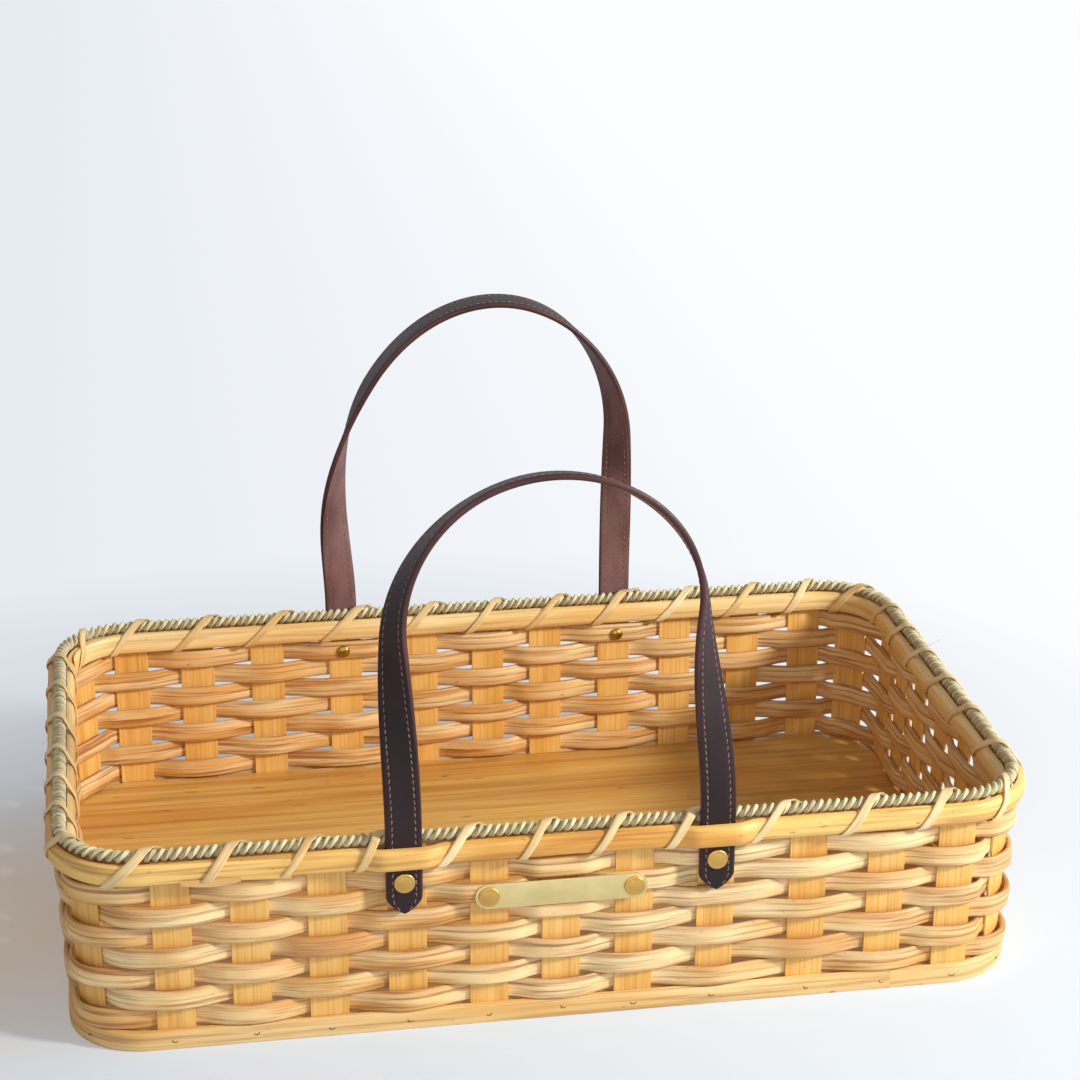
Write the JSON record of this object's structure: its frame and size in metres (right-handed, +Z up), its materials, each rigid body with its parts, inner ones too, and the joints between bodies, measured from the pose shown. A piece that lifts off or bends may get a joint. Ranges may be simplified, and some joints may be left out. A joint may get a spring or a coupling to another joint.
{
  "type": "flower gathering basket",
  "caption": "Shallow rounded oblong woven basket with a flat board base, a lashed rope rim and two upright folding strap handles.",
  "frame": {"origin": "middle of the base's underside", "axes": "+X along the basket, +Y from the front wall to the back wall, +Z up"},
  "size_m": [0.565, 0.3616, 0.3316],
  "materials": {
    "stake_wood": "satin sealed wood strip",
    "weaver_reed": "plain flat oval reed",
    "board_plywood": "stained plywood",
    "base_band_wood": "plain wood strip",
    "rim_band_wood": "stained half-round wood",
    "rope_fibre": "twisted sea grass rope",
    "lashing_cane": "plain flat cane",
    "strap_leather": "smooth dark brown leather",
    "plate_brass": "satin brass"
  },
  "bodies": {
    "basket": {"base_band": "base_band_wood", "base_board": "board_plywood", "front_strap_tab_left": "strap_leather", "front_strap_tab_right": "strap_leather", "inner_rim_band": "rim_band_wood", "label_plate": "plate_brass", "outer_rim_band": "rim_band_wood", "rear_strap_tab_left": "strap_leather", "rear_strap_tab_right": "strap_leather", "rim_filler_row": "weaver_reed", "rim_lashing_back_left": "lashing_cane", "rim_lashing_front_right": "lashing_cane", "rim_rope": "rope_fibre", "stake_back_01": "stake_wood", "stake_back_02": "stake_wood", "stake_back_03": "stake_wood", "stake_back_04": "stake_wood", "stake_back_05": "stake_wood", "stake_back_06": "stake_wood", "stake_back_07": "stake_wood", "stake_back_08": "stake_wood", "stake_back_09": "stake_wood", "stake_back_10": "stake_wood", "stake_back_11": "stake_wood", "stake_corner_after_back": "stake_wood", "stake_corner_after_front": "stake_wood", "stake_corner_after_left": "stake_wood", "stake_corner_after_right": "stake_wood", "stake_front_01": "stake_wood", "stake_front_02": "stake_wood", "stake_front_03": "stake_wood", "stake_front_04": "stake_wood", "stake_front_05": "stake_wood", "stake_front_06": "stake_wood", "stake_front_07": "stake_wood", "stake_front_08": "stake_wood", "stake_front_09": "stake_wood", "stake_front_10": "stake_wood", "stake_front_11": "stake_wood", "stake_left_01": "stake_wood", "stake_left_02": "stake_wood", "stake_left_03": "stake_wood", "stake_left_04": "stake_wood", "stake_left_05": "stake_wood", "stake_left_06": "stake_wood", "stake_right_01": "stake_wood", "stake_right_02": "stake_wood", "stake_right_03": "stake_wood", "stake_right_04": "stake_wood", "stake_right_05": "stake_wood", "stake_right_06": "stake_wood", "weaver_row_1": "weaver_reed", "weaver_row_2": "weaver_reed", "weaver_row_3": "weaver_reed", "weaver_row_4": "weaver_reed", "weaver_row_5": "weaver_reed", "weaver_row_6": "weaver_reed", "weaver_row_7": "weaver_reed"},
    "front_handle": {"front_handle_strap": "strap_leather"},
    "rear_handle": {"rear_handle_strap": "strap_leather"}
  },
  "joints": [
    {"name": "front_handle_fold", "type": "hinge", "parent": "basket", "child": "front_handle", "pos_m": [0.00023, -0.17038, 0.12465], "axis": [1, 0, 0], "range_deg": [-45, 115]},
    {"name": "rear_handle_fold", "type": "hinge", "parent": "basket", "child": "rear_handle", "pos_m": [0.00292, 0.17038, 0.12465], "axis": [-1, 0, 0], "range_deg": [-45, 115]}
  ]
}
